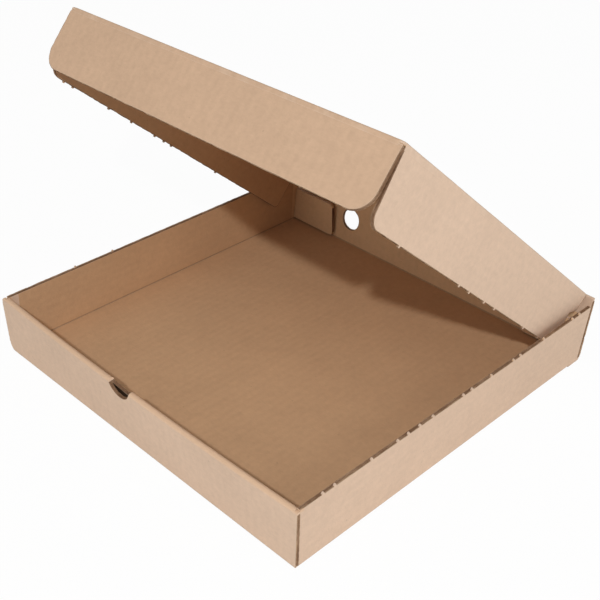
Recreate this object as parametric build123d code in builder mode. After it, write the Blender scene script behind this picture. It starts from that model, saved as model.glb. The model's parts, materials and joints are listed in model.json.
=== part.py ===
"""Twelve inch pizza box folded from one blank of corrugated board, lid ajar.

Millimetres, +Z up, +Y to the hinge, origin at the middle of the tray's underside.
Five pieces that move against each other at scored folds: the tray, the lid panel
and the lid's three tuck flaps.
"""
import os
from math import atan, cos, radians, sin

from build123d import *

# outside size of the tray on the table, and the board it is folded from
WIDTH = 305.0
DEPTH = 302.0
BOARD = 2.4
FOLD_R = 2.0

# wall heights above the table and how far each wall's top stands outside its foot;
# the front wall bows, so its middle leans further than its ends
SIDE_H = 48.5
FRONT_H = 48.0
LEAN_FRONT = 4.6
LEAN_FRONT_ENDS = 1.4
LEAN_REAR = 7.0
LEAN_RIGHT = 2.0
LEAN_LEFT = -2.5
FOOT_STRIP = 14.0

# front panel's corners, the left one at the foot worn round, and its step below the crest
EAR_DROP = 0.8
PANEL_FOOT_R = 2.0
WORN_FOOT_R = 8.0
LEFT_TOP_R = 3.0
RIGHT_TOP_R = 1.0

# rolled front wall: pinched crest, inner panel, and the tabs that lock it in the floor
CREST_T = 4.6
CREST_H = 3.0
PINCH_H = 6.0
ROLL_R = 2.2
ROLL_LAP = 12.0
LOCK_X = 76.0
LOCK_W = 40.0
LOCK_LAP = 4.0
LOCK_RECESS = 0.4
NOTCH_X = -8.2
NOTCH_R = 11.3
NOTCH_RISE = 2.0

# corner tabs of the side walls, and how far they stand above the floor
TAB_LIFT = 1.5
TAB_R = 5.0
FRONT_TAB = 62.0
FRONT_TAB_TAPER = 5.0
REAR_TAB = 51.0
REAR_TAB_TAPER = 2.5
REAR_TAB_TOP = 33.0
REAR_TAB_TIP_R = 3.0
REAR_TAB_TOP_R = 3.0
REAR_TAB_STANDOFF = 4.5

# vent holes in the rear wall, beside the ends of its tabs
VENT_FROM_TAB = 6.7
VENT_UP = 24.5
VENT_R = 9.7

# lid panel and flaps
LID_OPEN = 40.5
FRONT_FLAP_DROP = 42.5
SIDE_FLAP_DROP = 45.0
FRONT_FLAP_OVER = 1.0
FLAP_CORNER_R = 14.0
SIDE_FLAP_SETBACK = 2.0
SIDE_FLAP_TAPER = 5.0
SIDE_FLAP_TIP_R = 9.0
SIDE_FLAP_REAR = 2.2
SIDE_FLAP_REAR_R = 4.0
SIDE_FLAP_SHOULDER_R = 2.0
SIDE_FLAP_STEP = 2.0
SIDE_FLAP_RAMP = 4.0

# clearances: a board between two others, a tab in its slot, folds, and what swings past
SLIP = 0.15
SEAT = 0.3
REAR_SLIP = 0.25
SLOT_END = 0.4
CREASE_GAP = 0.25
HINGE_GAP = 0.45
FRONT_FOLD_GAP = 0.45
SIDE_FOLD_GAP = 1.3
LID_ABOVE = 0.4
LID_SIDE = 1.5
LID_FRONT = 0.75
TAB_UNDER_FLAP = 1.1
TAB_BEHIND_FLAP = 2.2

# stubs left where the die's bridges tore, measured from the front corner or hinge
NICK_T = 1.2
NICK_W = 2.6
NICK_TIP_W = 1.0
NICK_H = 1.5
NICK_SUNK = 0.6
NICKS_RIGHT = (19, 29, 61, 85, 95, 106, 119, 150, 159, 180, 205, 213, 241, 277, 286, 299)
NICKS_LEFT = (60, 95)
NICKS_RIGHT_FLAP = (258, 178, 163, 139, 122, 70, 41)
NICKS_LEFT_FLAP = (279, 270, 233, 208, 181, 170, 161, 103)

HALF = BOARD / 2
W2 = WIDTH / 2
D2 = DEPTH / 2
BEYOND = WIDTH + DEPTH


class Wall:
    """Frame of a leaning wall in its section plane: p inward from the outer face, q up."""

    def __init__(self, foot, outward, lean):
        self.angle = atan(lean / SIDE_H)
        self.foot = foot
        self.outward = outward
        self.up = (outward * sin(self.angle), cos(self.angle))
        self.inward = (-outward * cos(self.angle), sin(self.angle))

    def at(self, p, q):
        """Section point at p inward and q up the wall."""
        h = self.foot + self.up[0] * q + self.inward[0] * p
        v = self.up[1] * q + self.inward[1] * p
        return (h, v)

    def rise(self, p, z):
        """Distance up the wall at which the line p reaches the height z."""
        return (z - self.inward[1] * p) / self.up[1]

    def at_height(self, p, z):
        """Section point on the line p at the height z."""
        return self.at(p, self.rise(p, z))

    def foot_strip(self):
        """Section points of the strip of floor that runs to the wall's outer foot."""
        step = self.foot - self.outward * FOOT_STRIP
        return [(step, BOARD), (step, 0), (self.foot, 0)]


def front_at(x):
    """Front wall's frame at x, more upright near the side walls than in the middle."""
    bow = LEAN_FRONT - LEAN_FRONT_ENDS
    return Wall(-D2, -1, LEAN_FRONT - bow * (x / W2) ** 2)


front = front_at(0)
front_end = front_at(W2)
rear = Wall(D2, 1, LEAN_REAR)
right = Wall(W2, 1, LEAN_RIGHT)
left = Wall(-W2, -1, LEAN_LEFT)
rear_tab = Wall(D2 - BOARD - REAR_SLIP, 1, LEAN_REAR - REAR_TAB_STANDOFF)

# faces of the rolled front wall, measured inward from its outer face
TAB_OUT = BOARD + SLIP
TAB_IN = TAB_OUT + BOARD
ROLL_IN = TAB_IN + SLIP
ROLL_T = ROLL_IN + BOARD
TAB_FOOT = BOARD + TAB_LIFT

# hinge line in the rear wall's top edge, and the lid panel that clears the walls when shut
HINGE_Z = SIDE_H + NICK_H + LID_ABOVE + HALF
HINGE_Q = rear.rise(HALF, HINGE_Z)
HINGE_Y = rear.at(HALF, HINGE_Q)[0]
INWARD_LEAN = max(0, -LEAN_LEFT, -LEAN_RIGHT)
LID_HALF = W2 - BOARD - INWARD_LEAN - LID_SIDE - HALF
FLAP_FOOT_Z = HINGE_Z - FRONT_FLAP_DROP
LID_REACH = HINGE_Y - front_end.at_height(ROLL_T, FLAP_FOOT_Z)[0] - LID_FRONT - HALF
CREASE_R = HALF + CREASE_GAP
HINGE_CLEAR = HALF + HINGE_GAP

# side flaps: front end behind the front flap, rear end over and before the rear tabs
SIDE_FLAP_FRONT = LID_REACH - SIDE_FLAP_SETBACK
SIDE_FLAP_SHOULDER = HINGE_Z - REAR_TAB_TOP - TAB_UNDER_FLAP
SIDE_FLAP_TUCK = HINGE_Y - rear_tab.at_height(BOARD, TAB_FOOT)[0] + TAB_BEHIND_FLAP


def solid_from(points, rounds, plane, amount):
    """Prism of a section polygon, with the given (point, radius) corners rounded."""
    with BuildPart() as body:
        with BuildSketch(plane) as face:
            with BuildLine():
                Polyline(*points, close=True)
            make_face()
            for place, radius in rounds:
                corner = face.vertices().sort_by_distance((place[0], place[1], 0))[0]
                fillet(corner, radius)
        extrude(amount=amount, both=True)
    return body.part


def nick(x, y, z, up):
    """Torn stub of the outer liner on a cut edge, a low tooth that narrows away from it."""
    base = NICK_W / 2
    tip = NICK_TIP_W / 2
    tooth = [(y - base, z - up * NICK_SUNK), (y + base, z - up * NICK_SUNK),
             (y + tip, z + up * NICK_H), (y - tip, z + up * NICK_H)]
    return solid_from(tooth, [], Plane.YZ, NICK_T / 2).moved(Location((x, 0, 0)))


def bowed(shape):
    """Solid through the bowed front wall's sections, at its middle and beyond both ends."""
    with BuildPart() as body:
        for x in (-BOW_END, 0, BOW_END):
            points, rounds = shape(front_at(x))
            with BuildSketch(Plane.YZ.offset(x)) as face:
                with BuildLine():
                    Polyline(*points, close=True)
                make_face()
                for place, radius in rounds:
                    corner = face.vertices().sort_by_distance((place[0], place[1], 0))[0]
                    fillet(corner, radius)
        loft()
    return body.part


def crest_of(wall):
    """Distance up the front wall to its crest."""
    return FRONT_H / wall.up[1]


def pinch_of(wall):
    """Distance up the front wall to where its two boards part over the corner tabs."""
    return crest_of(wall) - CREST_H - PINCH_H


def panel_shape(wall):
    """Section of the outer panel with its strip of floor."""
    top = crest_of(wall) - EAR_DROP
    points = wall.foot_strip() + [
        wall.at(0, top), wall.at(BOARD, top), wall.at_height(BOARD, BOARD)]
    return points, [((-D2, 0), FOLD_R), (wall.at(0, top), EAR_DROP)]


def roll_shape(wall):
    """Section of the roll-over: boards pinched together at the crest, then the inner panel."""
    crest = crest_of(wall)
    pinch_top = crest - CREST_H
    foot = wall.rise(ROLL_IN, BOARD + SEAT)
    points = [
        wall.at(0, crest - ROLL_LAP), wall.at(0, crest), wall.at(CREST_T, crest),
        wall.at(CREST_T, pinch_top), wall.at(ROLL_T, pinch_of(wall)),
        wall.at(ROLL_T, foot), wall.at(ROLL_IN, foot),
        wall.at(ROLL_IN, pinch_of(wall)), wall.at(BOARD, pinch_top),
        wall.at(BOARD, crest - ROLL_LAP)]
    return points, [(points[1], ROLL_R), (points[2], ROLL_R)]


def tab_shape(wall):
    """Section of the corner tabs that stand between the front wall's two boards."""
    top = pinch_of(wall) - SEAT
    points = [wall.at_height(TAB_OUT, TAB_FOOT), wall.at(TAB_OUT, top),
              wall.at(TAB_IN, top), wall.at_height(TAB_IN, TAB_FOOT)]
    return points, []


# front wall: the outer panel runs to the side walls' outer faces, the roll-over between them
BOW_END = right.at_height(0, FRONT_H)[0] + BOARD
panel_outline = [(-W2, 0), (W2, 0), right.at_height(0, FRONT_H), (-W2, FRONT_H)]
panel_corners = [(panel_outline[0], WORN_FOOT_R), (panel_outline[1], PANEL_FOOT_R),
                 (panel_outline[2], RIGHT_TOP_R), (panel_outline[3], LEFT_TOP_R)]
front_panel = bowed(panel_shape) & solid_from(panel_outline, panel_corners, Plane.XZ, BEYOND)
seat = BOARD + SEAT
roll_outline = [left.at_height(seat, 0), right.at_height(seat, 0),
                right.at_height(seat, 2 * FRONT_H), left.at_height(seat, 2 * FRONT_H)]
roll_over = bowed(roll_shape) & solid_from(roll_outline, [], Plane.XZ, BEYOND)

# locking tabs of the inner panel and the floor slots they stand in
lock_wall = front_at(LOCK_X)
lock_top = lock_wall.rise(ROLL_IN, BOARD + SEAT) + LOCK_LAP
lock_section = [
    lock_wall.at(ROLL_IN, lock_top), lock_wall.at(ROLL_T, lock_top),
    lock_wall.at_height(ROLL_T, LOCK_RECESS), lock_wall.at_height(ROLL_IN, LOCK_RECESS)]
slot_section = [
    lock_wall.at_height(ROLL_IN - SEAT, 2 * BOARD), lock_wall.at_height(ROLL_T + SEAT, 2 * BOARD),
    lock_wall.at_height(ROLL_T + SEAT, -BOARD), lock_wall.at_height(ROLL_IN - SEAT, -BOARD)]

# side walls run from the front panel to the rear wall
side_run = [front_end.at_height(TAB_OUT, -BOARD), front_end.at_height(TAB_OUT, BEYOND),
            rear_tab.at_height(0, BEYOND), rear_tab.at_height(0, -BOARD)]
side_cutter = solid_from(side_run, [], Plane.YZ, BEYOND)


def side_wall(wall):
    """Upright wall of one side with its strip of floor."""
    top = SIDE_H / wall.up[1]
    section = wall.foot_strip() + [
        wall.at(0, top), wall.at(BOARD, top), wall.at_height(BOARD, BOARD)]
    return solid_from(section, [((wall.foot, 0), FOLD_R)], Plane.XZ, BEYOND) & side_cutter


def inside_of(wall):
    """Region from the middle of the box to just inside a side wall's outer face."""
    skin = SLIP / 2
    region = [(0, -BOARD), wall.at_height(skin, -BOARD), wall.at_height(skin, BEYOND), (0, BEYOND)]
    return solid_from(region, [], Plane.XZ, BEYOND)


def front_tab(wall):
    """Corner tab folded from a side wall into the rolled front wall."""
    s = wall.outward
    x_in = s * (W2 - FRONT_TAB)
    shape = [(s * BEYOND, 0), (x_in, TAB_FOOT), (x_in + s * FRONT_TAB_TAPER, FRONT_H),
             (s * BEYOND, FRONT_H)]
    outline = solid_from(shape, [(shape[1], TAB_R), (shape[2], TAB_R)], Plane.XZ, BEYOND)
    return bowed(tab_shape) & outline & inside_of(wall)


def back_tab(wall):
    """Corner tab folded from a side wall inside the rear wall."""
    s = wall.outward
    section = [rear_tab.at_height(0, 0), rear_tab.at_height(0, SIDE_H),
               rear_tab.at_height(BOARD, SIDE_H), rear_tab.at_height(BOARD, 0)]
    x_in = s * (W2 - REAR_TAB)
    shape = [(s * BEYOND, TAB_FOOT), (x_in, TAB_FOOT),
             (x_in + s * REAR_TAB_TAPER, REAR_TAB_TOP), (s * BEYOND, REAR_TAB_TOP)]
    tips = [(shape[1], REAR_TAB_TIP_R), (shape[2], REAR_TAB_TOP_R)]
    outline = solid_from(shape, tips, Plane.XZ, BEYOND)
    return solid_from(section, [], Plane.YZ, BEYOND) & outline & inside_of(wall)


# rear wall up to the hinge line, where its edge is half round
rear_section = rear.foot_strip() + [
    rear.at(0, HINGE_Q), rear.at(BOARD, HINGE_Q), rear.at_height(BOARD, BOARD)]
rear_slab = solid_from(rear_section, [((D2, 0), FOLD_R)], Plane.YZ, W2)

# planes of the rear wall's outer face at the vents and of the front face at the notch
rear_face = Plane(
    origin=(0, *rear.at(0, VENT_UP)), x_dir=(1, 0, 0),
    z_dir=(0, -rear.inward[0], -rear.inward[1]))
front_face = Plane(
    origin=(NOTCH_X, *front.at(0, crest_of(front) + NOTCH_RISE)), x_dir=(1, 0, 0),
    z_dir=(0, front.inward[0], front.inward[1]))
vent_x = W2 - REAR_TAB - VENT_FROM_TAB - VENT_R

wall_start = front_end.at_height(BOARD, SIDE_H)[0]
wall_end = rear_tab.at_height(0, SIDE_H)[0] - NICK_W

with BuildPart() as tray:
    with BuildSketch():
        Rectangle(WIDTH - 2 * FOLD_R, DEPTH - 2 * FOLD_R)
    extrude(amount=BOARD)
    add(front_panel)
    add(rear_slab)
    with Locations(Location((0, HINGE_Y, HINGE_Z), (0, 90, 0))):
        Cylinder(HALF, WIDTH)
    for wall in (right, left):
        add(side_wall(wall))
        add(back_tab(wall))
    for x in (-LOCK_X, LOCK_X):
        slot = solid_from(slot_section, [], Plane.YZ, LOCK_W / 2 + SLOT_END)
        add(slot.moved(Location((x, 0, 0))), mode=Mode.SUBTRACT)
    add(roll_over)
    for x in (-LOCK_X, LOCK_X):
        lock = solid_from(lock_section, [], Plane.YZ, LOCK_W / 2)
        add(lock.moved(Location((x, 0, 0))))
    for wall in (right, left):
        add(front_tab(wall))
    with BuildSketch(rear_face):
        with Locations((-vent_x, 0), (vent_x, 0)):
            Circle(VENT_R)
    extrude(amount=-2 * BOARD, mode=Mode.SUBTRACT)
    with BuildSketch(front_face):
        Circle(NOTCH_R)
    extrude(amount=ROLL_T + BOARD, mode=Mode.SUBTRACT)
    for wall, places in ((right, NICKS_RIGHT), (left, NICKS_LEFT)):
        x = wall.at_height(NICK_T / 2, SIDE_H)[0]
        for y in (wall_start + place for place in places):
            if y < wall_end:
                add(nick(x, y, SIDE_H, 1))

lid_plane = Plane(
    origin=(0, HINGE_Y, HINGE_Z), x_dir=(1, 0, 0),
    z_dir=(0, sin(radians(LID_OPEN)), cos(radians(LID_OPEN))))

# lid panel in its own frame: hinge line on x, panel towards -y, half-round folds on three sides
with BuildPart() as lid_flat:
    with BuildSketch(Plane.XZ.offset(HINGE_CLEAR)):
        SlotCenterToCenter(2 * LID_HALF, BOARD)
    extrude(amount=LID_REACH)
    with BuildSketch(Plane.YZ):
        SlotCenterToCenter(2 * LID_REACH, BOARD)
    extrude(amount=BEYOND, both=True, mode=Mode.INTERSECT)

with BuildPart() as lid:
    add(lid_plane.location * lid_flat.part)


def crease(centre, turn):
    """Round that a flap's edge turns about, a clearance larger than the lid's fold."""
    with BuildPart() as tool:
        with Locations(Location(centre, turn)):
            Cylinder(CREASE_R, 2 * BEYOND)
    return tool.part


# front flap: hangs from the lid's front fold, lower corners rounded
flap_half = LID_HALF + FRONT_FLAP_OVER
flap_shape = [(-flap_half, 0), (flap_half, 0), (flap_half, -FRONT_FLAP_DROP),
              (-flap_half, -FRONT_FLAP_DROP)]
flap_corners = [(flap_shape[2], FLAP_CORNER_R), (flap_shape[3], FLAP_CORNER_R)]
with BuildPart() as front_flap_flat:
    slab = solid_from(flap_shape, flap_corners, Plane.XZ, HALF)
    add(slab.moved(Location((0, -LID_REACH, 0))))
    add(crease((0, -LID_REACH, 0), (0, 90, 0)), mode=Mode.SUBTRACT)
    with Locations((0, -LID_REACH + BOARD, 0)):
        Box(BEYOND, 2 * BOARD, BOARD + 2 * FRONT_FOLD_GAP, mode=Mode.SUBTRACT)

with BuildPart() as lid_front_flap:
    add(lid_plane.location * front_flap_flat.part)


def side_flap(s, nicks):
    """Side flap on the fold at x = s * LID_HALF, tapered at both ends, in the lid's frame."""
    shape = [(-SIDE_FLAP_FRONT, 0), (-SIDE_FLAP_REAR, 0),
             (-SIDE_FLAP_REAR - SIDE_FLAP_STEP, -SIDE_FLAP_SHOULDER + SIDE_FLAP_RAMP),
             (-SIDE_FLAP_TUCK, -SIDE_FLAP_SHOULDER), (-SIDE_FLAP_TUCK, -SIDE_FLAP_DROP),
             (-SIDE_FLAP_FRONT + SIDE_FLAP_TAPER, -SIDE_FLAP_DROP)]
    corners = [(shape[5], SIDE_FLAP_TIP_R), (shape[4], SIDE_FLAP_REAR_R),
               (shape[2], SIDE_FLAP_SHOULDER_R)]
    stub_x = s * (LID_HALF + HALF - NICK_T / 2)
    last_nick = SIDE_FLAP_FRONT - SIDE_FLAP_TAPER - SIDE_FLAP_TIP_R
    with BuildPart() as flap:
        slab = solid_from(shape, corners, Plane.YZ, HALF)
        add(slab.moved(Location((s * LID_HALF, 0, 0))))
        add(crease((s * LID_HALF, 0, 0), (90, 0, 0)), mode=Mode.SUBTRACT)
        with Locations((s * (LID_HALF - BOARD), 0, 0)):
            Box(2 * BOARD, 2 * BEYOND, BOARD + 2 * SIDE_FOLD_GAP, mode=Mode.SUBTRACT)
        for place in nicks:
            if place < last_nick:
                add(nick(stub_x, -place, -SIDE_FLAP_DROP, -1))
    return flap.part


with BuildPart() as lid_right_flap:
    add(lid_plane.location * side_flap(1, NICKS_RIGHT_FLAP))
with BuildPart() as lid_left_flap:
    add(lid_plane.location * side_flap(-1, NICKS_LEFT_FLAP))

os.makedirs("parts", exist_ok=True)
tray.part.label = "tray"
export_step(tray.part, "parts/tray.step")
lid.part.label = "lid"
export_step(lid.part, "parts/lid.step")
lid_front_flap.part.label = "lid_front_flap"
export_step(lid_front_flap.part, "parts/lid_front_flap.step")
lid_left_flap.part.label = "lid_left_flap"
export_step(lid_left_flap.part, "parts/lid_left_flap.step")
lid_right_flap.part.label = "lid_right_flap"
export_step(lid_right_flap.part, "parts/lid_right_flap.step")
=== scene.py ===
"""Looks of a twelve inch pizza box folded from brown corrugated board, lid ajar."""
import json
import math

import bpy
import numpy as np
from mathutils import Matrix, Vector


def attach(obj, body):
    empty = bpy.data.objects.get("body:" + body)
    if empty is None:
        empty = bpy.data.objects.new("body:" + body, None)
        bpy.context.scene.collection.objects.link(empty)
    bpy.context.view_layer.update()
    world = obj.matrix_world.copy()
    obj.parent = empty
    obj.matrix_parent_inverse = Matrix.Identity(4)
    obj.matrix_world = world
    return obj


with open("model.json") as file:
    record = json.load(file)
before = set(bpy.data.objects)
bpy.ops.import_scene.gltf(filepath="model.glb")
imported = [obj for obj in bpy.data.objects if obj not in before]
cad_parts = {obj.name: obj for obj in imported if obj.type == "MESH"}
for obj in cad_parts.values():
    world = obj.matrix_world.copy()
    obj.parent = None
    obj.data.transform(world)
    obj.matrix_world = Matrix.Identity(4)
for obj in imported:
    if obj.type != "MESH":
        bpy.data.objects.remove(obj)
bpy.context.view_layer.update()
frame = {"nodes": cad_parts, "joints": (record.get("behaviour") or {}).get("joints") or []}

MM = 0.001

# sizes of the folded board in millimetres, as the solids have them
BOARD = 2.4
HALF = BOARD / 2
WIDTH = 305.0
DEPTH = 302.0
SIDE_H = 48.5
FRONT_H = 48.0
LEAN_FRONT = 4.6
LEAN_FRONT_ENDS = 1.4
LEAN_REAR = 7.0
LEAN_RIGHT = 2.0
LEAN_LEFT = -2.5
EAR_DROP = 0.8
PANEL_FOOT_R = 2.0
WORN_FOOT_R = 8.0
LEFT_TOP_R = 3.0
RIGHT_TOP_R = 1.0
ROLL_R = 2.2
CREST_T = 4.6
CREST_H = 3.0
PINCH_H = 6.0
ROLL_T = 7.5
NOTCH_X = -8.2
NOTCH_R = 11.3
NOTCH_RISE = 2.0
REAR_TAB = 51.0
REAR_TAB_TAPER = 2.5
REAR_TAB_TOP = 33.0
REAR_TAB_TIP_R = 3.0
REAR_TAB_TOP_R = 3.0
REAR_TAB_STANDOFF = 4.5
REAR_SLIP = 0.25
TAB_LIFT = 1.5
TAB_SLIP = 0.15
VENT_FROM_TAB = 6.7
VENT_UP = 24.5
VENT_R = 9.7
FRONT_FLAP_DROP = 42.5
SIDE_FLAP_DROP = 45.0
FRONT_FLAP_OVER = 1.0
FLAP_CORNER_R = 14.0
SIDE_FLAP_SETBACK = 2.0
SIDE_FLAP_TAPER = 5.0
SIDE_FLAP_TIP_R = 9.0
SIDE_FLAP_REAR = 2.2
SIDE_FLAP_REAR_R = 4.0
SIDE_FLAP_SHOULDER_R = 2.0
SIDE_FLAP_STEP = 2.0
SIDE_FLAP_RAMP = 4.0
SIDE_FLAP_NOOK_R = 0.6
TAB_UNDER_FLAP = 1.1
TAB_BEHIND_FLAP = 2.2

W2 = WIDTH / 2
D2 = DEPTH / 2

# a cut edge: pitch of the flutes, thickness of the liners, how far the liners and the medium
# between them stand above the cut, their softness and fraying, and how far the edge is sunk
FLUTE = 6.3
LINER = 0.42
LINER_RIDGE = 0.34
LINER_RIDGE_MAX = 0.45
LINER_SOFT = 0.05
LINER_FRAY = 0.28
MEDIUM_RIDGE = 0.24
MEDIUM_W = 0.17
MEDIUM_GAP = 0.12
MEDIUM_WANDER = 0.9
EDGE_LIFT = 0.03
EDGE_SUNK = 0.3

# its grid: points across, step along in millimetres, and steps over which fray and wander change
EDGE_POINTS = 15
STEP = 0.5
FRAY_STEPS = 5
WANDER_STEPS = 41

# its paper value: middle, change to the liners within a width, and the height below which the
# edge is painted darker, painted shade in the flute hollows
PAPER_MIDDLE = 0.66
PAPER_CHANGE = 0.34
PAPER_W = 0.3
PAPER_SHADE_H = 0.36

# where cut edges end: short of a board's end, above a panel's foot, below the hinge and the folds
END_GAP = 0.2
FOOT_GAP = 0.3
HINGE_GAP = 1.6
FRONT_FOLD_GAP = 2.0
SIDE_FOLD_GAP = 2.6

# painted light and shade on the cut edges, as a share of their paper value: wall tops, front
# panel's ends, flaps, and the notch and tabs in deep painted shade
WALL_TOP_PAINTED_LIGHT = 0.75
PANEL_END_PAINTED_LIGHT = 1.1
FLAP_EDGE_PAINTED_LIGHT = 0.6
NOTCH_TAB_PAINTED_LIGHT = 0.3

# outer liner round the flaps' folds: how far it stands out, its thickness, its laps down the
# flaps, how far its ends keep from the panel's ends, its start inside the lid's edge, its waviness
SKIN_PROUD = 0.1
SKIN_T = 0.3
FRONT_SKIN_LAP = 2.2
SIDE_SKIN_LAP = 3.0
SKIN_INSET = 1.6
SKIN_REAR_GAP = 0.3
SKIN_START = math.radians(-50)
SKIN_END = math.radians(90)
SKIN_WAVE = 0.05
SKIN_WAVE_LOW = -0.06
SKIN_WAVE_HIGH = 0.08
SKIN_WAVE_STEPS = 5
SKIN_STEP = 4.0
SKIN_POINTS = 15

# marks on the tray: turned-over liner above the rear tabs, zones at the walls, the rear one painted
# lighter as painted light, painted shade along the inner folds, a painted highlight on the crest,
# cut faces, and painted shade in the hollow that the notch opens
TURNED_W = 14.0
TURNED_UP = 4.0
TURNED_DEPTH = 4.0
REAR_LIGHT_ZONE = 8.0
ROLL_ZONE = 2.0
SIDE_ZONE = 4.0
TOP_BELOW = 1.0
TOP_ABOVE = 0.25
FLOOR_MARGIN = 0.2
CREASE_SHADE_UP = 1.1
CREASE_SHADE_DARK = 0.3
CREST_HIGHLIGHT_DROP = 2.2
CREST_TOP = 0.6
CREST_HIGHLIGHT_SHARE = 0.7
CREST_DEPTH = 4.5
CUT_MARGIN = 0.12
HOLLOW_MARGIN = 0.1
HOLLOW_LOW = 2.0
NOTCH_SHADE_REACH = 6.0

# facings: a face looks along an axis where that part of its normal is above the first share, and
# across it below the second; its place times its facing, in millimetres, is below the third where
# it looks to the tray's middle; a panel shows its inside above the fourth, its cut below the last
LOOKS_ALONG = 0.6
LOOKS_ACROSS = 0.5
LOOKS_IN = -15.0
PANEL_IN = 0.3
PANEL_CUT = 0.4

# the lid's frame, read from its joints: hinge line, fold lines and how far it is open
joints = {joint["name"]: joint for joint in frame["joints"]}
hinge = np.array(joints["lid_hinge"]["pos_m"]) / MM
front_fold = np.array(joints["front_flap_fold"]["pos_m"]) / MM
LID_HALF = joints["right_flap_fold"]["pos_m"][0] / MM
LID_REACH = float(np.linalg.norm(front_fold - hinge))
LID_OPEN = math.radians(-joints["lid_hinge"]["range_deg"][0])
lid_along = np.array([0.0, -math.cos(LID_OPEN), math.sin(LID_OPEN)])
lid_normal = np.array([0.0, math.sin(LID_OPEN), math.cos(LID_OPEN)])
across = np.array([1.0, 0.0, 0.0])


def linear(hex_code):
    """Linear RGBA of an sRGB hex colour."""
    srgb = [int(hex_code[i:i + 2], 16) / 255 for i in (1, 3, 5)]
    rgb = [c / 12.92 if c <= 0.04045 else ((c + 0.055) / 1.055) ** 2.4 for c in srgb]
    return (*rgb, 1.0)


def add(tree, kind, inputs=None, out=0, **settings):
    """Adds a node, sets or links its inputs by name or number, and returns one output."""
    new = tree.nodes.new("ShaderNode" + kind)
    for key, value in settings.items():
        setattr(new, key, value)
    for key, value in (inputs or {}).items():
        if isinstance(value, bpy.types.NodeSocket):
            tree.links.new(value, new.inputs[key])
        else:
            new.inputs[key].default_value = value
    return new.outputs[out] if new.outputs else None


def new_material(name):
    """Empty node material and its tree."""
    material = bpy.data.materials.new(name)
    material.use_nodes = True
    material.node_tree.nodes.clear()
    return material, material.node_tree


# kraft paper's patterns in millimetres: clouds, pulp spots, fibres, and cells of which some hold a
# bark speck, then the share by which each one changes the tone, and its height in the surface
CLOUD = 55.0
PULP = 4.2
FIBRE = (3.2, 0.9, 1.4)
SPECK_CELL = 8.0
SPECK_R = 0.6
SPECK_CHANCE = 0.2
CLOUD_TONE = 0.16
PULP_TONE = 0.22
FIBRE_TONE = 0.16
RIB_TONE = 0.007
SPECK_TONE = 0.14
CLOUD_RELIEF = 0.9
PULP_RELIEF = 0.05
FIBRE_RELIEF = 0.05
RIB_RELIEF = 0.03


def kraft_liner_colour(tree, place, liner, washboard):
    """Colour and bump height of kraft liner at a place in millimetres.

    Unbleached kraft paper, pressed between rolls and glued to flutes: matt, cloudy
    over a few centimetres, mottled over a few millimetres with pulp, short fibres
    lying mostly one way, stray dark bark specks, and the faint ribs of the flutes.
    """
    cloud = add(tree, "TexNoise", {"Vector": place, "Scale": 1 / CLOUD, "Detail": 3.0})
    mottle = add(tree, "TexNoise", {"Vector": place, "Scale": 1 / PULP, "Detail": 4.0, "Roughness": 0.65})
    grain_place = add(tree, "Mapping", {"Vector": place, "Scale": tuple(1 / size for size in FIBRE)})
    grain = add(tree, "TexNoise", {"Vector": grain_place, "Scale": 1.0, "Detail": 3.0, "Roughness": 0.7})
    # each noise lies about a half, so half its share is taken off again
    patch = add(tree, "Math", {0: cloud, 1: CLOUD_TONE, 2: 1 - CLOUD_TONE / 2}, operation="MULTIPLY_ADD")
    spots = add(tree, "Math", {0: mottle, 1: PULP_TONE, 2: -PULP_TONE / 2}, operation="MULTIPLY_ADD")
    fibre = add(tree, "Math", {0: grain, 1: FIBRE_TONE, 2: -FIBRE_TONE / 2}, operation="MULTIPLY_ADD")
    tone = add(tree, "Math", {0: patch, 1: spots}, operation="ADD")
    tone = add(tree, "Math", {0: tone, 1: fibre}, operation="ADD")
    tone = add(tree, "Math", {0: washboard, 1: RIB_TONE, 2: tone}, operation="MULTIPLY_ADD")
    # bark specks: a small disc in one of a few cells, about a millimetre wide so that it still shows
    speck_place = add(tree, "TexVoronoi", {"Vector": place, "Scale": 1 / SPECK_CELL})
    chance = add(tree, "SeparateColor", {0: speck_place.node.outputs["Color"]})
    near = add(tree, "Math", {0: speck_place, 1: SPECK_R / SPECK_CELL}, operation="LESS_THAN")
    rare = add(tree, "Math", {0: chance, 1: SPECK_CHANCE}, operation="LESS_THAN")
    speck = add(tree, "Math", {0: near, 1: rare}, operation="MULTIPLY")
    dark = add(tree, "Math", {0: speck, 1: -SPECK_TONE, 2: 1.0}, operation="MULTIPLY_ADD")
    tone = add(tree, "Math", {0: tone, 1: dark}, operation="MULTIPLY")
    colour = add(tree, "VectorMath", {0: liner, 1: tone}, operation="MULTIPLY")
    relief = add(tree, "Math", {0: grain, 1: FIBRE_RELIEF}, operation="MULTIPLY")
    relief = add(tree, "Math", {0: mottle, 1: PULP_RELIEF, 2: relief}, operation="MULTIPLY_ADD")
    relief = add(tree, "Math", {0: washboard, 1: RIB_RELIEF, 2: relief}, operation="MULTIPLY_ADD")
    relief = add(tree, "Math", {0: cloud, 1: CLOUD_RELIEF, 2: relief}, operation="MULTIPLY_ADD")
    return colour, relief


def board_coordinates(tree, turn, origin):
    """Place in millimetres and facing of the surface, turned into a panel's own frame."""
    object_place = add(tree, "TexCoord", out=3)
    object_facing = object_place.node.outputs["Normal"]
    shift = Matrix.Rotation(turn, 3, "X") @ Vector(origin)
    place = add(tree, "Mapping", {"Vector": object_place, "Location": tuple(-shift),
                                  "Rotation": (turn, 0, 0), "Scale": (1 / MM, 1 / MM, 1 / MM)})
    facing = add(tree, "Mapping", {"Vector": object_facing, "Rotation": (turn, 0, 0)}, vector_type="VECTOR")
    return place, facing


def between(tree, value, low, high):
    """1 where a value lies between two limits."""
    above = add(tree, "Math", {0: value, 1: low}, operation="GREATER_THAN")
    below = add(tree, "Math", {0: value, 1: high}, operation="LESS_THAN")
    return add(tree, "Math", {0: above, 1: below}, operation="MULTIPLY")


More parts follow.
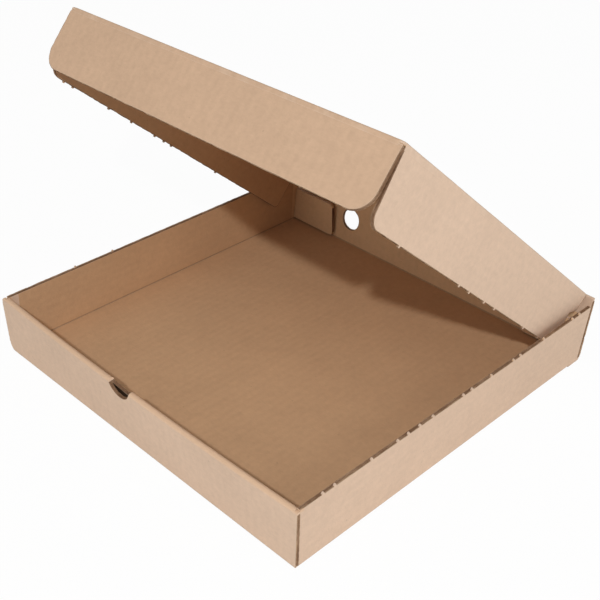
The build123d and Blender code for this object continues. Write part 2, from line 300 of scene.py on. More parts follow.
def flute_ribs(tree, place, facing):
    """Washboard of the flutes, -1 to 1: along x, and up the panels that face sideways."""
    axes = add(tree, "SeparateXYZ", {0: place})
    look = add(tree, "SeparateXYZ", {0: facing})
    sideways = add(tree, "Math", {0: look}, operation="ABSOLUTE")
    sideways = add(tree, "Math", {0: sideways, 1: LOOKS_ALONG}, operation="GREATER_THAN")
    run = add(tree, "Mix", {0: sideways, 2: axes, 3: axes.node.outputs[2]}, data_type="FLOAT")
    turn = add(tree, "Math", {0: run, 1: 2 * math.pi / FLUTE}, operation="MULTIPLY")
    return add(tree, "Math", {0: turn}, operation="SINE")


# papers of the box in even light: liners outside, a darker copy on the front flap that is painted
# shade, and inside, paper at cuts, at rubbed edges, painted shade between the flutes, on liner
# edges, painted shade in the hollow, a painted highlight on the crest and painted light at the rear
OUTER_LINER = linear("#d3b8a1")
FRONT_FLAP_SHADED_LINER = linear("#c6a68a")
INNER_LINER = linear("#c6a17d")
CUT_PAPER = linear("#957558")
WORN_PAPER = linear("#dcc6b0")
FLUTE_SHADE = linear("#735640")
EDGE_PAPER = linear("#c6a789")
HOLLOW_SHADE = linear("#4a3524")
CREST_HIGHLIGHT = linear("#d5b08e")
REAR_PAINTED_LIGHT = linear("#d6b38c")


# in millimetres: the radius over which edges are rubbed pale, the size of rubbed patches on the
# flaps' folds, and the reach of the painted shade in folds and corners
RUBBED_R = 0.9
RUBBED_PATCH = 9.0
OCCLUSION_SHADE_REACH = 3.0


def finish_board(tree, colour, relief):
    """Uncoated kraft paper: matt, no gloss, rubbed pale at the edges, painted shade in folds and corners.
    """
    rounded = add(tree, "Bevel", {"Radius": RUBBED_R * MM}, samples=4)
    true = add(tree, "NewGeometry", out=1)
    sharp = add(tree, "VectorMath", {0: rounded, 1: true}, out=1, operation="DOT_PRODUCT")
    rub = add(tree, "MapRange", {"Value": sharp, "From Min": 0.99, "From Max": 0.8, "To Max": 0.45})
    colour = add(tree, "Mix", {0: rub, 6: colour, 7: WORN_PAPER}, out=2, data_type="RGBA")
    # painted shade: the colour is darkened where other surfaces are near, as in folds and corners
    corner = add(tree, "AmbientOcclusion", {"Distance": OCCLUSION_SHADE_REACH * MM}, out=1, samples=4)
    painted_occlusion_shade = add(tree, "MapRange", {"Value": corner, "From Min": 0.25, "From Max": 0.8, "To Min": 0.78})
    colour = add(tree, "VectorMath", {0: colour, 1: painted_occlusion_shade}, operation="MULTIPLY")
    bump = add(tree, "Bump", {"Strength": 1.0, "Distance": MM, "Height": relief})
    shader = add(tree, "BsdfPrincipled", {"Base Color": colour, "Roughness": 0.92,
                                          "Specular IOR Level": 0.2, "Normal": bump})
    add(tree, "OutputMaterial", {"Surface": shader})


def depth_behind_front(tree, x, y, z):
    """Y of a place with the front wall's lean taken out: lean falls from the middle as x squared."""
    bow = (LEAN_FRONT - LEAN_FRONT_ENDS) / W2 ** 2 / SIDE_H
    squared = add(tree, "Math", {0: x, 1: x}, operation="MULTIPLY")
    tilt = add(tree, "Math", {0: squared, 1: -bow, 2: LEAN_FRONT / SIDE_H}, operation="MULTIPLY_ADD")
    return add(tree, "Math", {0: z, 1: tilt, 2: y}, operation="MULTIPLY_ADD")


def tray_cut_faces(tree, place, ny, up, front_depth):
    """1 on the side walls' tops and on faces inside the front and rear boards' thickness."""
    x, y, z = place
    aside = add(tree, "Math", {0: x}, operation="ABSOLUTE")
    beside = add(tree, "Math", {0: aside, 1: W2 - BOARD - SIDE_ZONE}, operation="GREATER_THAN")
    behind = add(tree, "Math", {0: y, 1: -D2 + 1.5 * BOARD}, operation="GREATER_THAN")
    at_top = between(tree, z, SIDE_H - TOP_BELOW, SIDE_H + TOP_ABOVE)
    top_cut = add(tree, "Math", {0: up, 1: at_top}, operation="MULTIPLY")
    top_cut = add(tree, "Math", {0: top_cut, 1: beside}, operation="MULTIPLY")
    top_cut = add(tree, "Math", {0: top_cut, 1: behind}, operation="MULTIPLY")
    front_cut = between(tree, front_depth, -D2 + CUT_MARGIN, -D2 + BOARD - CUT_MARGIN)
    rear_depth = add(tree, "Math", {0: z, 1: -LEAN_REAR / SIDE_H, 2: y}, operation="MULTIPLY_ADD")
    rear_cut = between(tree, rear_depth, D2 - BOARD + CUT_MARGIN, D2 - CUT_MARGIN)
    thick_cut = add(tree, "Math", {0: front_cut, 1: rear_cut}, operation="MAXIMUM")
    upright = between(tree, z, BOARD + FLOOR_MARGIN, FRONT_H - ROLL_R)
    level = add(tree, "Math", {0: ny}, operation="ABSOLUTE")
    level = add(tree, "Math", {0: level, 1: LOOKS_ACROSS}, operation="LESS_THAN")
    thick_cut = add(tree, "Math", {0: thick_cut, 1: upright}, operation="MULTIPLY")
    thick_cut = add(tree, "Math", {0: thick_cut, 1: level}, operation="MULTIPLY")
    return add(tree, "Math", {0: top_cut, 1: thick_cut}, operation="MAXIMUM")


def roll_hollow(tree, x, z, front_depth):
    """1 in the hollow of the rolled front wall where the notch opens it, painted dark as shade."""
    outer_board = -D2 + BOARD - HOLLOW_MARGIN
    inner_board = -D2 + ROLL_T - BOARD + HOLLOW_MARGIN
    hollow = between(tree, front_depth, outer_board, inner_board)
    below_crest = between(tree, z, HOLLOW_LOW, FRONT_H - CREST_H)
    hollow = add(tree, "Math", {0: hollow, 1: below_crest}, operation="MULTIPLY")
    reach = NOTCH_R + NOTCH_SHADE_REACH
    near_notch = between(tree, x, NOTCH_X - reach, NOTCH_X + reach)
    return add(tree, "Math", {0: hollow, 1: near_notch}, operation="MULTIPLY")


def tray_board():
    """Kraft corrugated board of the tray, folded: outer liner, inner liner and cut edges."""
    material, tree = new_material("kraft_corrugated_tray")
    place, facing = board_coordinates(tree, 0.0, (0, 0, 0))
    axes = add(tree, "SeparateXYZ", {0: place})
    x, y, z = axes.node.outputs
    look = add(tree, "SeparateXYZ", {0: facing})
    nx, ny, nz = look.node.outputs
    # inside: faces that look towards the middle, and the floor's upper side
    out_x = add(tree, "Math", {0: nx, 1: x}, operation="MULTIPLY")
    out_y = add(tree, "Math", {0: ny, 1: y, 2: out_x}, operation="MULTIPLY_ADD")
    inward = add(tree, "Math", {0: out_y, 1: LOOKS_IN}, operation="LESS_THAN")
    # the rolled front wall turns its outer liner over the crest and down the inner side
    rolled = add(tree, "Math", {0: y, 1: -D2 + ROLL_T + ROLL_ZONE}, operation="GREATER_THAN")
    lined = add(tree, "Math", {0: inward, 1: rolled}, operation="MULTIPLY")
    up = add(tree, "Math", {0: nz, 1: LOOKS_ALONG}, operation="GREATER_THAN")
    low = add(tree, "Math", {0: z, 1: 2 * BOARD}, operation="LESS_THAN")
    floor = add(tree, "Math", {0: up, 1: low}, operation="MULTIPLY")
    inside = add(tree, "Math", {0: lined, 1: floor}, operation="MAXIMUM")
    aside = add(tree, "Math", {0: x}, operation="ABSOLUTE")
    # above the rear corner tabs the liner is turned over and shows its outer side
    turned = add(tree, "Math", {0: aside, 1: W2 - TURNED_W}, operation="GREATER_THAN")
    above_tab = add(tree, "Math", {0: z, 1: REAR_TAB_TOP + TURNED_UP}, operation="GREATER_THAN")
    turned = add(tree, "Math", {0: turned, 1: above_tab}, operation="MULTIPLY")
    at_rear = add(tree, "Math", {0: y, 1: D2 - TURNED_DEPTH}, operation="GREATER_THAN")
    turned = add(tree, "Math", {0: turned, 1: at_rear}, operation="MULTIPLY")
    inside = add(tree, "Math", {0: inside, 1: turned}, operation="SUBTRACT", use_clamp=True)
    ribs = flute_ribs(tree, place, facing)
    # painted light: the inner faces of the walls at the rear are painted paler than the floor
    wall_side = add(tree, "Math", {0: up, 1: 0.5}, operation="LESS_THAN")
    rear = add(tree, "Math", {0: y, 1: D2 - REAR_LIGHT_ZONE}, operation="GREATER_THAN")
    rear = add(tree, "Math", {0: rear, 1: wall_side}, operation="MULTIPLY")
    inner = add(tree, "Mix", {0: rear, 6: INNER_LINER, 7: REAR_PAINTED_LIGHT}, out=2, data_type="RGBA")
    liner = add(tree, "Mix", {0: inside, 6: OUTER_LINER, 7: inner}, out=2, data_type="RGBA")
    colour, relief = kraft_liner_colour(tree, place, liner, ribs)
    # painted shade along the inner folds where the walls meet the floor, and a painted highlight,
    # lighter and warmer, on the rolled crest
    at_fold = between(tree, z, BOARD - FLOOR_MARGIN, BOARD + CREASE_SHADE_UP)
    crease_shade = add(tree, "Math", {0: at_fold, 1: wall_side}, operation="MULTIPLY")
    crease_shade = add(tree, "Math", {0: crease_shade, 1: inward}, operation="MULTIPLY")
    # painted highlight: the top of the rolled crest is painted lighter and warmer
    crest = add(tree, "MapRange", {"Value": z, "From Min": FRONT_H - CREST_HIGHLIGHT_DROP,
                                   "From Max": FRONT_H - CREST_TOP, "To Max": CREST_HIGHLIGHT_SHARE})
    crest_side = add(tree, "Math", {0: y, 1: -D2 + CREST_DEPTH}, operation="LESS_THAN")
    crest = add(tree, "Math", {0: crest, 1: crest_side}, operation="MULTIPLY")
    colour = add(tree, "Mix", {0: crest, 6: colour, 7: CREST_HIGHLIGHT}, out=2, data_type="RGBA")
    # painted shade: a narrow band of the inner walls just above the floor is darkened
    pressed = add(tree, "Math", {0: crease_shade, 1: -CREASE_SHADE_DARK, 2: 1.0}, operation="MULTIPLY_ADD")
    colour = add(tree, "VectorMath", {0: colour, 1: pressed}, operation="MULTIPLY")
    front_depth = depth_behind_front(tree, x, y, z)
    cut = tray_cut_faces(tree, (x, y, z), ny, up, front_depth)
    colour = add(tree, "Mix", {0: cut, 6: colour, 7: CUT_PAPER}, out=2, data_type="RGBA")
    # painted shade: the hollow inside the rolled front wall, seen through the notch, is painted dark
    hollow = roll_hollow(tree, x, z, front_depth)
    colour = add(tree, "Mix", {0: hollow, 6: colour, 7: HOLLOW_SHADE}, out=2, data_type="RGBA")
    finish_board(tree, colour, relief)
    return material


def lid_board(name, panel_axis, inside_sign, outer=OUTER_LINER, cut_ends=True):
    """Kraft corrugated board of the lid or a flap, in the lid's frame.

    panel_axis is the axis across the panel, and inside_sign the side that faces in. The panel's
    narrow faces are cut ends, but not on the lid, which is folded on all sides.
    """
    material, tree = new_material(name)
    place, facing = board_coordinates(tree, LID_OPEN, hinge)
    look = add(tree, "SeparateXYZ", {0: facing})
    flat = look.node.outputs[panel_axis]
    ribs = flute_ribs(tree, place, facing)
    inward = add(tree, "Math", {0: flat, 1: PANEL_IN * inside_sign},
                 operation="GREATER_THAN" if inside_sign > 0 else "LESS_THAN")
    liner = add(tree, "Mix", {0: inward, 6: outer, 7: INNER_LINER}, out=2, data_type="RGBA")
    colour, relief = kraft_liner_colour(tree, place, liner, ribs)
    if cut_ends:
        edge = add(tree, "Math", {0: flat}, operation="ABSOLUTE")
        cut = add(tree, "Math", {0: edge, 1: PANEL_CUT}, operation="LESS_THAN")
        colour = add(tree, "Mix", {0: cut, 6: colour, 7: CUT_PAPER}, out=2, data_type="RGBA")
    finish_board(tree, colour, relief)
    return material


def dress(node_name, material):
    """Gives a solid its material."""
    for slot in frame["nodes"][node_name].material_slots:
        slot.material = material


dress("tray", tray_board())
dress("lid", lid_board("kraft_corrugated_lid", 2, -1, cut_ends=False))
# the front flap's liner is the outer liner painted darker and yellower: painted shade
dress("lid_front_flap", lid_board("kraft_corrugated_front_flap", 1, 1, FRONT_FLAP_SHADED_LINER))
dress("lid_left_flap", lid_board("kraft_corrugated_left_flap", 0, 1))
dress("lid_right_flap", lid_board("kraft_corrugated_right_flap", 0, -1))


def wall_place(foot, outward, lean, depth, up):
    """Horizontal and vertical place on a leaning wall, depth in from its outer face, up along it."""
    angle = np.arctan(np.asarray(lean) / SIDE_H)
    level = foot + outward * (np.sin(angle) * up - np.cos(angle) * depth)
    return level, np.cos(angle) * up + np.sin(angle) * depth


def lid_place(x, back, up):
    """Points in the lid's frame: x across, back behind the hinge line and up along its normal.

    The lid lies before the hinge line, so back is negative on it.
    """
    level = hinge + np.multiply.outer(x, across) - np.multiply.outer(back, lid_along)
    return level + np.multiply.outer(up, lid_normal)


def rounded_outline(corners, radii, step):
    """Points every step along a line with its corners rounded to their radii, and left normals."""
    corners = np.asarray(corners, float)
    pieces = []
    start = corners[0]
    for before, corner, after, radius in zip(corners[:-2], corners[1:-1], corners[2:], radii):
        way_in = (corner - before) / np.linalg.norm(corner - before)
        way_out = (after - corner) / np.linalg.norm(after - corner)
        turn = math.atan2(way_in[0] * way_out[1] - way_in[1] * way_out[0], way_in @ way_out)
        cut = radius * abs(math.tan(turn / 2))
        first = corner - way_in * cut
        count = max(2, int(np.linalg.norm(first - start) / step))
        pieces.append(start + np.linspace(0, 1, count, endpoint=False)[:, None] * (first - start))
        side = math.copysign(1.0, turn) * np.array([-way_in[1], way_in[0]])
        sweep = np.linspace(0, turn, max(4, int(radius * abs(turn) / step)), endpoint=False)
        arm = -side * radius
        arc_x = arm[0] * np.cos(sweep) - arm[1] * np.sin(sweep)
        arc_y = arm[0] * np.sin(sweep) + arm[1] * np.cos(sweep)
        pieces.append(first + side * radius + np.stack([arc_x, arc_y], 1))
        start = corner + way_out * cut
    count = max(2, int(np.linalg.norm(corners[-1] - start) / step))
    pieces.append(start + np.linspace(0, 1, count)[:, None] * (corners[-1] - start))
    points = np.concatenate(pieces)
    run = np.gradient(points, axis=0)
    run /= np.linalg.norm(run, axis=1)[:, None]
    return points, np.stack([-run[:, 1], run[:, 0]], 1)


def smooth_noise(rng, count, width):
    """Random numbers along a line, averaged over a width of steps, of spread about 1."""
    raw = np.convolve(rng.normal(size=count + width), np.ones(width) / width, "same")[:count]
    return raw * math.sqrt(width)


def cut_edge(path, facing, outside, crossing, rng, light=1.0, loop=False):
    """Ragged cut edge of corrugated board: a closed ring carried along a path.

    With t across the board and s along the path, the ring stands h(t, s) above the cut:
    a smooth step up to LINER_RIDGE over each liner, frayed along s, and between them the
    medium, a bell-shaped line of paper that swings from liner to liner as a sine of the flute
    pitch where the cut crosses the flutes, and wanders slowly where it runs along them.
    The ring closes EDGE_SUNK inside the board. Its paper value, for the colour, is highest on
    the outer liner's edge, lower on the inner liner's, and lowest between, where the lower paper
    is painted darker as painted shade in the flute hollows; it is times light, the edge's share of
    painted light and shade.
    """
    path = np.asarray(path, float)
    count = len(path)
    outside = np.broadcast_to(outside, path.shape)
    s = np.concatenate([[0.0], np.cumsum(np.linalg.norm(np.diff(path, axis=0), axis=1))])
    t = np.linspace(-HALF, HALF, EDGE_POINTS)
    swing = HALF - LINER - MEDIUM_GAP
    if crossing:
        beat = np.sin(2 * np.pi * s / FLUTE)
    else:
        beat = np.tanh(MEDIUM_WANDER * smooth_noise(rng, count, WANDER_STEPS))
    fray = 1 + LINER_FRAY * smooth_noise(rng, count, FRAY_STEPS)[:, None]
    ridge = fray * LINER_RIDGE / (1 + np.exp((HALF - LINER - np.abs(t)) / LINER_SOFT))
    medium = MEDIUM_RIDGE * np.exp(-((t - swing * beat[:, None]) / MEDIUM_W) ** 2)
    height = np.maximum(np.clip(ridge, 0, LINER_RIDGE_MAX), medium) + EDGE_LIFT
    over = path[:, None] + outside[:, None] * t[:, None] + facing[:, None] * height[:, :, None]
    foot_t = np.array([HALF - EDGE_SUNK, -HALF + EDGE_SUNK])
    under = path[:, None] + outside[:, None] * foot_t[:, None] - EDGE_SUNK * facing[:, None]
    ring = np.concatenate([over, under], axis=1)
    rank = PAPER_MIDDLE + PAPER_CHANGE * np.tanh(t / PAPER_W)
    # painted shade: lower parts of the edge, between liners and flutes, are painted darker
    shown = light * rank * np.clip(height / PAPER_SHADE_H, 0, 1)
    paper = np.concatenate([shown, np.zeros((count, 2))], axis=1)
    run = path[1] - path[0]
    flip = np.cross(outside[0], facing[0]) @ run > 0
    return ring, paper, flip, loop


def ring_faces(count, points, flip, loop, first):
    """Quads between rings carried along a path, and the two end caps unless it is a loop."""
    last = count if loop else count - 1
    i = np.arange(last)[:, None]
    j = np.arange(points)[None, :]
    a = i * points + j
    b = i * points + (j + 1) % points
    c = (i + 1) % count * points + (j + 1) % points
    d = (i + 1) % count * points + j
    quads = np.stack([a, b, c, d], -1).reshape(-1, 4) + first
    faces = (quads[:, ::-1] if flip else quads).tolist()
    if not loop:
        ends = [np.arange(points)[::-1] + first, np.arange(points) + first + (count - 1) * points]
        faces += [(end[::-1] if flip else end).tolist() for end in ends]
    return faces


def piece(name, rings, material):
    """Object of several carried rings, each given as points in millimetres, paper, flip and loop."""
    points, papers, faces, first = [], [], [], 0
    for ring, paper, flip, loop in rings:
        faces += ring_faces(ring.shape[0], ring.shape[1], flip, loop, first)
        points.append(ring.reshape(-1, 3))
        papers.append(paper.reshape(-1))
        first += ring.shape[0] * ring.shape[1]
    mesh = bpy.data.meshes.new(name)
    mesh.from_pydata((np.concatenate(points) * MM).tolist(), [], faces)
    mesh.attributes.new("paper", "FLOAT", "POINT").data.foreach_set("value", np.concatenate(papers))
    mesh.materials.append(material)
    built = bpy.data.objects.new(name, mesh)
    bpy.context.scene.collection.objects.link(built)
    return built


rng = np.random.default_rng(12)


def side_wall_tops():
    """Rings on the tops of the two side walls, from the front corner tabs to the rear ones."""
    rings = []
    front_y = wall_place(-D2, -1, LEAN_FRONT_ENDS, BOARD + TAB_SLIP, SIDE_H)[0]
    rear_y = wall_place(D2 - BOARD - REAR_SLIP, 1, LEAN_REAR - REAR_TAB_STANDOFF, 0, SIDE_H)[0]
    y = np.arange(front_y + END_GAP, rear_y - END_GAP, STEP)
    for side, lean in ((1, LEAN_RIGHT), (-1, LEAN_LEFT)):
        angle = math.atan(lean / SIDE_H)
        x, z = wall_place(side * W2, side, lean, HALF, SIDE_H / math.cos(angle))
        path = np.stack([np.full_like(y, x), y, np.full_like(y, z)], 1)
        facing = np.tile([side * math.sin(angle), 0, math.cos(angle)], (len(y), 1))
        outside = (side * math.cos(angle), 0, -math.sin(angle))
        rings.append(cut_edge(path, facing, outside, False, rng, WALL_TOP_PAINTED_LIGHT))
    return rings


def front_panel_ends():
    """Rings on the front panel's ends: the right follows the right wall's lean, the left is upright."""
    rings = []
    tilt = math.atan(LEAN_RIGHT / SIDE_H)
    angle = math.atan(LEAN_FRONT_ENDS / SIDE_H)
    outside = (0, -math.cos(angle), -math.sin(angle))
    ends = ((1, tilt, PANEL_FOOT_R, RIGHT_TOP_R), (-1, 0.0, WORN_FOOT_R, LEFT_TOP_R))
    for side, slope, foot_r, top_r in ends:
        up = np.arange(foot_r + FOOT_GAP, FRONT_H - EAR_DROP - top_r - END_GAP, STEP)
        y, z = wall_place(-D2, -1, LEAN_FRONT_ENDS, HALF, up)
        path = np.stack([side * W2 + z * math.tan(slope), y, z], 1)
        facing = np.tile([side * math.cos(slope), 0, -math.sin(slope)], (len(up), 1))
        rings.append(cut_edge(path, facing, outside, False, rng, PANEL_END_PAINTED_LIGHT))
    return rings


def rear_wall_edges():
    """Rings on the rear wall's ends, and on its vents, circles cut through its upright flutes."""
    rings = []
    angle = math.atan(LEAN_REAR / SIDE_H)
    outside = (0, math.cos(angle), -math.sin(angle))
    up = np.arange(BOARD, (hinge[2] - HINGE_GAP) / math.cos(angle), STEP)
    y, z = wall_place(D2, 1, LEAN_REAR, HALF, up)
    for side in (1, -1):
        path = np.stack([np.full_like(up, side * W2), y, z], 1)
        rings.append(cut_edge(path, np.tile([side, 0.0, 0.0], (len(up), 1)), outside, False, rng))
    turn = np.arange(0, 2 * np.pi, STEP / VENT_R)
    facing = -np.stack([np.cos(turn), math.sin(angle) * np.sin(turn), math.cos(angle) * np.sin(turn)], 1)
    y, z = wall_place(D2, 1, LEAN_REAR, HALF, VENT_UP + VENT_R * np.sin(turn))
    for side in (1, -1):
        x = side * (W2 - REAR_TAB - VENT_FROM_TAB - VENT_R) + VENT_R * np.cos(turn)
        rings.append(cut_edge(np.stack([x, y, z], 1), facing, outside, True, rng, loop=True))
    return rings


def thumb_notch_edges():
    """Rings on the thumb notch: an arc through the outer board, and one through the inner board."""
    rings = []
    angle = math.atan(LEAN_FRONT / SIDE_H)
    outside = (0, -math.cos(angle), -math.sin(angle))
    crest = FRONT_H / math.cos(angle)
    reach = math.asin((NOTCH_RISE + ROLL_R) / NOTCH_R)
    turn = np.arange(math.pi + reach, 2 * math.pi - reach, STEP / NOTCH_R)
    up = crest + NOTCH_RISE + NOTCH_R * np.sin(turn)
    inner = np.interp(crest - up, [CREST_H, CREST_H + PINCH_H], [CREST_T - HALF, ROLL_T - HALF])
    facing = -np.stack([np.cos(turn), -math.sin(angle) * np.sin(turn), math.cos(angle) * np.sin(turn)], 1)
    for depth in (np.full_like(up, HALF), inner):
        y, z = wall_place(-D2, -1, LEAN_FRONT, depth, up)
        path = np.stack([NOTCH_X + NOTCH_R * np.cos(turn), y, z], 1)
        rings.append(cut_edge(path, facing, outside, True, rng, NOTCH_TAB_PAINTED_LIGHT))
    return rings


def rear_tab_ends():
    """Rings on the free ends of the rear corner tabs, which taper upward."""
    rings = []
    low = BOARD + TAB_LIFT
    up = np.arange(low + REAR_TAB_TIP_R, REAR_TAB_TOP - REAR_TAB_TOP_R, STEP)
    lean = LEAN_REAR - REAR_TAB_STANDOFF
    angle = math.atan(lean / SIDE_H)
    outside = (0, math.cos(angle), -math.sin(angle))
    y, z = wall_place(D2 - BOARD - REAR_SLIP, 1, lean, HALF, up)
    for side in (1, -1):
        x = side * (W2 - REAR_TAB + REAR_TAB_TAPER * (z - low) / (REAR_TAB_TOP - low))
        facing = np.tile([-side, 0.0, 0.0], (len(up), 1))
        rings.append(cut_edge(np.stack([x, y, z], 1), facing, outside, False, rng, NOTCH_TAB_PAINTED_LIGHT))
    return rings


def tray_cut_edges():
    """All rings on the tray's cut edges."""
    rings = side_wall_tops() + front_panel_ends() + rear_wall_edges()
    return rings + thumb_notch_edges() + rear_tab_ends()


def front_flap_cut_edge():
    """Ring on the front flap's outline, down one end, along the foot and up the other end."""
    half = LID_HALF + FRONT_FLAP_OVER
    corners = [(-half, -FRONT_FOLD_GAP), (-half, -FRONT_FLAP_DROP),
               (half, -FRONT_FLAP_DROP), (half, -FRONT_FOLD_GAP)]
    points, normals = rounded_outline(corners, [FLAP_CORNER_R] * 2, STEP)
    path = lid_place(points[:, 0], np.full(len(points), -LID_REACH), points[:, 1])
    facing = -(np.multiply.outer(normals[:, 0], across) + np.multiply.outer(normals[:, 1], lid_normal))
    return [cut_edge(path, facing, lid_along, True, rng, FLAP_EDGE_PAINTED_LIGHT)]


def side_flap_cut_edge(side):
    """Ring on a side flap's outline, from its front end round its foot to its rear end."""
    front = SIDE_FLAP_SETBACK - LID_REACH
    shoulder = hinge[2] - REAR_TAB_TOP - TAB_UNDER_FLAP
    tab_lean = LEAN_REAR - REAR_TAB_STANDOFF
    tab = wall_place(D2 - BOARD - REAR_SLIP, 1, tab_lean, BOARD, BOARD + TAB_LIFT)[0]
    tuck = hinge[1] - tab + TAB_BEHIND_FLAP
    corners = [(front, -SIDE_FOLD_GAP), (front + SIDE_FLAP_TAPER, -SIDE_FLAP_DROP),
               (-tuck, -SIDE_FLAP_DROP), (-tuck, -shoulder),
               (-SIDE_FLAP_REAR - SIDE_FLAP_STEP, -shoulder + SIDE_FLAP_RAMP),
               (-SIDE_FLAP_REAR, -SIDE_FOLD_GAP)]
    radii = [SIDE_FLAP_TIP_R, SIDE_FLAP_REAR_R, SIDE_FLAP_NOOK_R, SIDE_FLAP_SHOULDER_R]
    points, normals = rounded_outline(corners, radii, STEP)
    path = lid_place(np.full(len(points), side * LID_HALF), points[:, 0], points[:, 1])
    facing = -(np.multiply.outer(normals[:, 0], -lid_along) + np.multiply.outer(normals[:, 1], lid_normal))
    return [cut_edge(path, facing, side * across, False, rng, FLAP_EDGE_PAINTED_LIGHT)]


def fold_skin(begin, end, over, out, lap, rng):
    """Outer liner round a scored fold: a thin closed ring carried along the fold line.

    The ring's outer side starts at SKIN_START inside the lid's rounded edge, turns about the fold
    line at half the board plus SKIN_PROUD until it faces out, then runs lap down the flap. Its
    inner side runs back SKIN_T beneath, inside the board. Turning with the flap it slides in the
    lid's edge, so the fold stays closed. Along the fold the radius wanders by SKIN_WAVE.
    """
    begin, end = np.asarray(begin), np.asarray(end)
    count = int(np.linalg.norm(end - begin) / SKIN_STEP)
    line = begin + np.linspace(0, 1, count)[:, None] * (end - begin)
    turn = np.linspace(SKIN_START, SKIN_END, SKIN_POINTS)
    arms = np.multiply.outer(np.cos(turn), over) + np.multiply.outer(np.sin(turn), out)
    arms = np.concatenate([arms, [out]])
    laps = np.zeros_like(arms)
    laps[-1] = -lap * np.asarray(over)
    wave = SKIN_WAVE * smooth_noise(rng, count, SKIN_WAVE_STEPS)
    swell = np.clip(wave, SKIN_WAVE_LOW, SKIN_WAVE_HIGH)
    taper = np.append(np.clip(np.sin(2 * turn), 0, None), 0)
    top = HALF + SKIN_PROUD + np.outer(swell, taper)
    outer_side = line[:, None] + laps + top[:, :, None] * arms
    inner_side = (line[:, None] + laps + (HALF + SKIN_PROUD - SKIN_T) * arms)[:, ::-1]
    ring = np.concatenate([outer_side, inner_side], axis=1)
    flip = np.cross(out, over) @ (end - begin) > 0
    return ring, np.ones(ring.shape[:2]), flip, False


# patterns of a cut edge in millimetres: torn fibres and worn patches, then how much these, the
# paper value and the painted shade in the hollows between the flutes change its lightness
TORN_FIBRE = 1.1
WORN_PATCH = 14.0
TORN_TONE = 0.5
WORN_TONE = 1.1
PAPER_TONE = 0.85
FLUTE_HOLLOW_SHADE = 0.2


def cut_board():
    """Cut corrugated board: light liner edges, and painted shade in the hollows between the flutes."""
    material, tree = new_material("kraft_cut_edge")
    place = add(tree, "TexCoord", out=3)
    paper = add(tree, "Attribute", out=2, attribute_name="paper")
    fibre = add(tree, "TexNoise", {"Vector": place, "Scale": 1 / (TORN_FIBRE * MM), "Detail": 3.0})
    patch = add(tree, "TexNoise", {"Vector": place, "Scale": 1 / (WORN_PATCH * MM), "Detail": 2.0})
    worn = add(tree, "Math", {0: patch, 1: WORN_TONE, 2: -WORN_TONE / 2}, operation="MULTIPLY_ADD")
    share = add(tree, "Math", {0: fibre, 1: TORN_TONE, 2: worn}, operation="MULTIPLY_ADD")
    share = add(tree, "Math", {0: paper, 1: PAPER_TONE, 2: share}, operation="MULTIPLY_ADD")
    share = add(tree, "Math", {0: share, 1: FLUTE_HOLLOW_SHADE}, operation="SUBTRACT", use_clamp=True)
    colour = add(tree, "Mix", {0: share, 6: FLUTE_SHADE, 7: EDGE_PAPER}, out=2, data_type="RGBA")
    bump = add(tree, "Bump", {"Strength": 0.6, "Distance": 0.2 * MM, "Height": fibre})
    shader = add(tree, "BsdfPrincipled", {"Base Color": colour, "Roughness": 0.95,
                                          "Specular IOR Level": 0.15, "Normal": bump})
    add(tree, "OutputMaterial", {"Surface": shader})
    return material


def fold_liner(name, outer):
    """Outer kraft liner stretched over a scored fold, in the lid's frame, a little rubbed."""
    material, tree = new_material(name)
    place, facing = board_coordinates(tree, LID_OPEN, hinge)
    colour, relief = kraft_liner_colour(tree, place, outer[:3], flute_ribs(tree, place, facing))
    rubbed = add(tree, "TexNoise", {"Vector": place, "Scale": 1 / RUBBED_PATCH, "Detail": 4.0})
    rub = add(tree, "MapRange", {"Value": rubbed, "From Min": 0.45, "From Max": 0.7, "To Max": 0.2})
    colour = add(tree, "Mix", {0: rub, 6: colour, 7: WORN_PAPER}, out=2, data_type="RGBA")
    finish_board(tree, colour, relief)
    return material


edge_board = cut_board()
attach(piece("tray_cut_edges", tray_cut_edges(), edge_board), "tray")
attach(piece("front_flap_cut_edge", front_flap_cut_edge(), edge_board), "lid_front_flap")
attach(piece("left_flap_cut_edge", side_flap_cut_edge(-1), edge_board), "lid_left_flap")
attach(piece("right_flap_cut_edge", side_flap_cut_edge(1), edge_board), "lid_right_flap")

left_end = lid_place(SKIN_INSET - LID_HALF, -LID_REACH, 0)
right_end = lid_place(LID_HALF - SKIN_INSET, -LID_REACH, 0)
front_skin = fold_skin(left_end, right_end, lid_normal, lid_along, FRONT_SKIN_LAP, rng)
front_liner = fold_liner("kraft_front_fold", FRONT_FLAP_SHADED_LINER)
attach(piece("front_fold_liner", [front_skin], front_liner), "lid_front_flap")
side_liner = fold_liner("kraft_side_fold", OUTER_LINER)
for side, flap in ((-1, "lid_left_flap"), (1, "lid_right_flap")):
    begin = lid_place(side * LID_HALF, SKIN_INSET - LID_REACH, 0)
    end = lid_place(side * LID_HALF, -SIDE_FLAP_REAR - SKIN_REAR_GAP, 0)
    skin = fold_skin(begin, end, lid_normal, side * across, SIDE_SKIN_LAP, rng)
    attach(piece(flap.replace("lid", "fold_liner"), [skin], side_liner), flap)


def seen_rays(tree):
    """1 for rays from the camera, in mirrors and through glass, 0 for rays that light the box."""
    ray = add(tree, "LightPath")
    seen = add(tree, "Math", {0: ray, 1: ray.node.outputs["Is Glossy Ray"]}, operation="MAXIMUM")
    return add(tree, "Math", {0: seen, 1: ray.node.outputs["Is Transmission Ray"]}, operation="MAXIMUM")


# the floor's half width in metres, the share of plain white where it is seen, and the height in
# millimetres that the lights aim at
FLOOR_HALF = 4.0
FLOOR_WHITE = 0.96
AIM_UP = 60.0


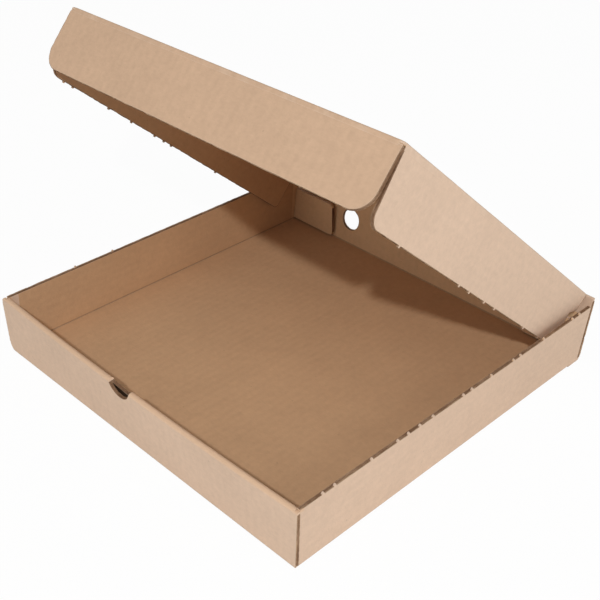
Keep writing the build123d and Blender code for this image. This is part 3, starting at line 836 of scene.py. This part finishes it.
def studio_floor():
    """White paper sweep on which the box stands: matt, seen nearly white with a faint shadow."""
    mesh = bpy.data.meshes.new("studio_floor")
    corners = [(x * FLOOR_HALF, y * FLOOR_HALF, 0) for x, y in ((-1, -1), (1, -1), (1, 1), (-1, 1))]
    mesh.from_pydata(corners, [], [(0, 1, 2, 3)])
    floor = bpy.data.objects.new("studio_floor", mesh)
    bpy.context.scene.collection.objects.link(floor)
    material, tree = new_material("white_paper_sweep")
    paper = add(tree, "BsdfDiffuse", {"Color": linear("#efeeec")})
    glow = add(tree, "Emission", {"Color": (1, 1, 1, 1), "Strength": 1.0})
    share = add(tree, "Math", {0: seen_rays(tree), 1: FLOOR_WHITE}, operation="MULTIPLY")
    shader = add(tree, "MixShader", {0: share, 1: paper, 2: glow})
    add(tree, "OutputMaterial", {"Surface": shader})
    mesh.materials.append(material)


def soft_light(name, direction, distance, size, power):
    """Square soft box in a direction from a point above the tray, facing it: metres and watts."""
    light = bpy.data.lights.new(name, "AREA")
    light.shape = "SQUARE"
    light.size = size
    light.energy = power
    lamp = bpy.data.objects.new(name, light)
    bpy.context.scene.collection.objects.link(lamp)
    away = Vector(direction).normalized()
    lamp.location = Vector((0, 0, AIM_UP * MM)) + away * distance
    lamp.rotation_euler = away.to_track_quat("Z", "Y").to_euler()


def studio():
    """White world for the eye, even fill for the box, a small key light and three large soft boxes."""
    world = bpy.data.worlds.new("studio")
    bpy.context.scene.world = world
    world.use_nodes = True
    tree = world.node_tree
    tree.nodes.clear()
    fill = add(tree, "Background", {"Color": (1, 1, 1, 1), "Strength": 0.31})
    white = add(tree, "Background", {"Color": (1, 1, 1, 1), "Strength": 1.0})
    sky = add(tree, "MixShader", {0: seen_rays(tree), 1: fill, 2: white})
    add(tree, "OutputWorld", {"Surface": sky})
    soft_light("key_soft_box", (0.514, -0.574, 0.637), distance=1.9, size=0.05, power=15.5)
    soft_light("top_soft_box", (0.05, -0.45, 1.0), distance=1.9, size=0.9, power=2.6)
    soft_light("side_soft_box", (1.0, 0.1, 0.4), distance=1.9, size=1.2, power=10.0)
    soft_light("front_fill", (-0.25, -1.0, 0.3), distance=2.0, size=1.4, power=5.9)


# the view, found from the box's own edges: camera place, lens, sensor and the nearest that is
# drawn in millimetres, angles in degrees
CAMERA_AT = (458.03, -462.11, 475.73)
CAMERA_YAW = -44.5091
CAMERA_PITCH = 33.2322
CAMERA_ROLL = 1.1154
LENS = 63.70
SENSOR = 36.0
NEAREST = 10.0


def camera():
    """Camera looking down a pitch below level, turned by yaw from +Y, then rolled."""
    data = bpy.data.cameras.new("view")
    data.sensor_width = SENSOR
    data.lens = LENS
    data.clip_start = NEAREST * MM
    eye = bpy.data.objects.new("view", data)
    bpy.context.scene.collection.objects.link(eye)
    yaw = math.radians(CAMERA_YAW)
    pitch = math.radians(CAMERA_PITCH)
    roll = math.radians(CAMERA_ROLL)
    ahead = Vector((math.sin(yaw) * math.cos(pitch), math.cos(yaw) * math.cos(pitch), -math.sin(pitch)))
    right = Vector((math.cos(yaw), -math.sin(yaw), 0))
    up = right.cross(ahead)
    rolled_right = right * math.cos(roll) + up * math.sin(roll)
    rolled_up = up * math.cos(roll) - right * math.sin(roll)
    axes = Matrix((rolled_right, rolled_up, -ahead)).transposed()
    eye.matrix_world = Matrix.Translation(Vector(CAMERA_AT) * MM) @ axes.to_4x4()
    bpy.context.scene.camera = eye


studio_floor()
studio()
camera()
bpy.context.scene.view_settings.view_transform = "Standard"
